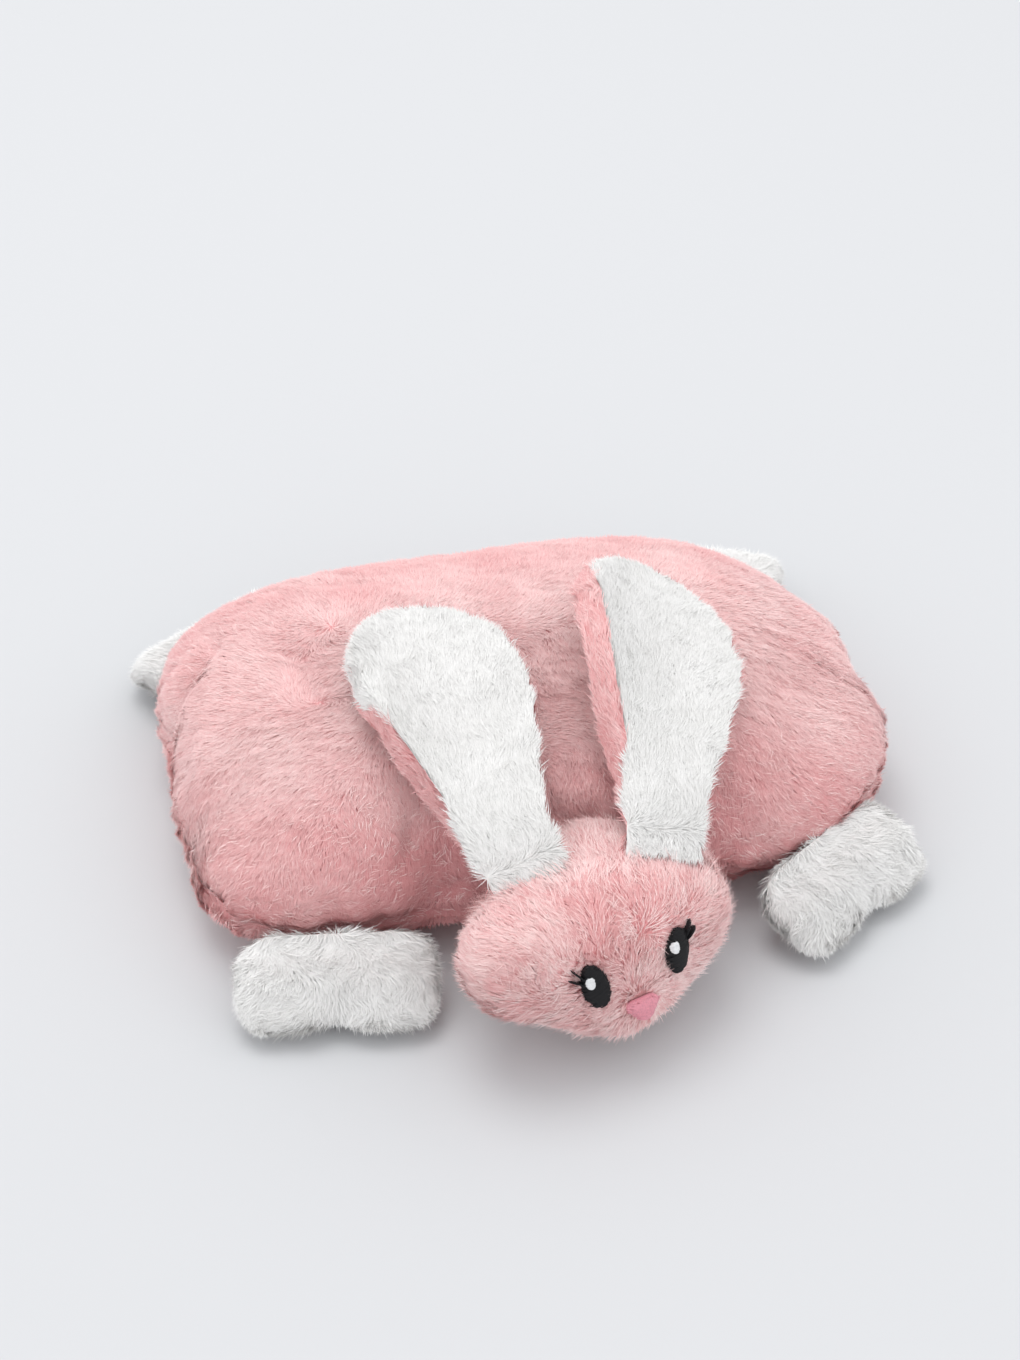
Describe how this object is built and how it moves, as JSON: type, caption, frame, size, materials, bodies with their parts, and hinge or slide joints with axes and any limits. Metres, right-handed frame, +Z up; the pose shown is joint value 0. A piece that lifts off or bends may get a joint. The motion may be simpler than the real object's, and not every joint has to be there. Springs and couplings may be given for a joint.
{
  "type": "stuffed bunny rabbit",
  "caption": "Cushion-shaped plush bunny lying flat, with a turning stuffed head, long floppy two-sided ears, flat lobed paws at the corners and a round pompom tail.",
  "frame": {"origin": "on the floor, under the middle of the cushion, in the plane of its flat underside", "axes": "+Z up, the face looks towards -Y, the tail points towards +Y, +X is to the right of someone facing the toy's face"},
  "size_m": [0.4478, 0.4453, 0.1725],
  "materials": {
    "pink_fur": "dusty pink short-pile faux fur, soft nap",
    "white_fur": "warm white faux fur, slightly longer nap",
    "stuffing": "polyester fibre filling",
    "black_thread": "black satin-stitch embroidery",
    "white_thread": "white satin-stitch embroidery",
    "nose_thread": "rose satin-stitch embroidery"
  },
  "bodies": {
    "cushion": {"cushion_top_panel": "pink_fur", "cushion_bottom_panel": "pink_fur", "cushion_stuffing": "stuffing"},
    "head": {"face_panel_left": "pink_fur", "face_panel_right": "pink_fur", "head_back_panel": "pink_fur", "head_stuffing": "stuffing", "eye_left": "black_thread", "eye_right": "black_thread", "eye_highlight_left": "white_thread", "eye_highlight_right": "white_thread", "eyelash_upper_left": "black_thread", "eyelash_lower_left": "black_thread", "eyelash_upper_right": "black_thread", "eyelash_lower_right": "black_thread", "nose": "nose_thread", "ear_left_gather": "pink_fur", "ear_right_gather": "pink_fur"},
    "ear_left": {"ear_left_front": "white_fur", "ear_left_back": "pink_fur", "ear_left_wadding": "stuffing"},
    "ear_right": {"ear_right_front": "white_fur", "ear_right_back": "pink_fur", "ear_right_wadding": "stuffing"},
    "paw_front_left": {"paw_front_left_upper": "white_fur", "paw_front_left_lower": "white_fur", "paw_front_left_stuffing": "stuffing"},
    "paw_front_right": {"paw_front_right_upper": "white_fur", "paw_front_right_lower": "white_fur", "paw_front_right_stuffing": "stuffing"},
    "paw_back_left": {"paw_back_left_upper": "white_fur", "paw_back_left_lower": "white_fur", "paw_back_left_stuffing": "stuffing"},
    "paw_back_right": {"paw_back_right_upper": "white_fur", "paw_back_right_lower": "white_fur", "paw_back_right_stuffing": "stuffing"},
    "tail": {"tail_cover": "white_fur", "tail_stuffing": "stuffing"}
  },
  "joints": [
    {"name": "head_turn", "type": "hinge", "parent": "cushion", "child": "head", "pos_m": [-0.003, -0.166, 0.06], "axis": [0, 0, 1], "range_deg": [-26, 4]},
    {"name": "ear_left_flop", "type": "hinge", "parent": "head", "child": "ear_left", "pos_m": [-0.0365, -0.187, 0.104], "axis": [0.9609, 0.135, 0.2419], "range_deg": [0, 100]},
    {"name": "ear_right_flop", "type": "hinge", "parent": "head", "child": "ear_right", "pos_m": [0.041, -0.183, 0.107], "axis": [0.9661, -0.153, -0.2079], "range_deg": [0, 100]},
    {"name": "paw_front_left_lift", "type": "hinge", "parent": "cushion", "child": "paw_front_left", "pos_m": [-0.1425, -0.156, 0.045], "axis": [-0.9877, 0.1564, 0], "range_deg": [0, 55]},
    {"name": "paw_front_right_lift", "type": "hinge", "parent": "cushion", "child": "paw_front_right", "pos_m": [0.156, -0.141, 0.045], "axis": [-0.8387, -0.5446, 0], "range_deg": [0, 55]},
    {"name": "paw_back_left_lift", "type": "hinge", "parent": "cushion", "child": "paw_back_left", "pos_m": [-0.168, 0.136, 0.045], "axis": [0.848, 0.5299, 0], "range_deg": [0, 55]},
    {"name": "paw_back_right_lift", "type": "hinge", "parent": "cushion", "child": "paw_back_right", "pos_m": [0.161, 0.145, 0.045], "axis": [0.9272, -0.3746, 0], "range_deg": [0, 55]},
    {"name": "tail_wag", "type": "hinge", "parent": "cushion", "child": "tail", "pos_m": [-0.003, 0.1515, 0.034], "axis": [0, 0, 1], "range_deg": [-25, 25]}
  ]
}
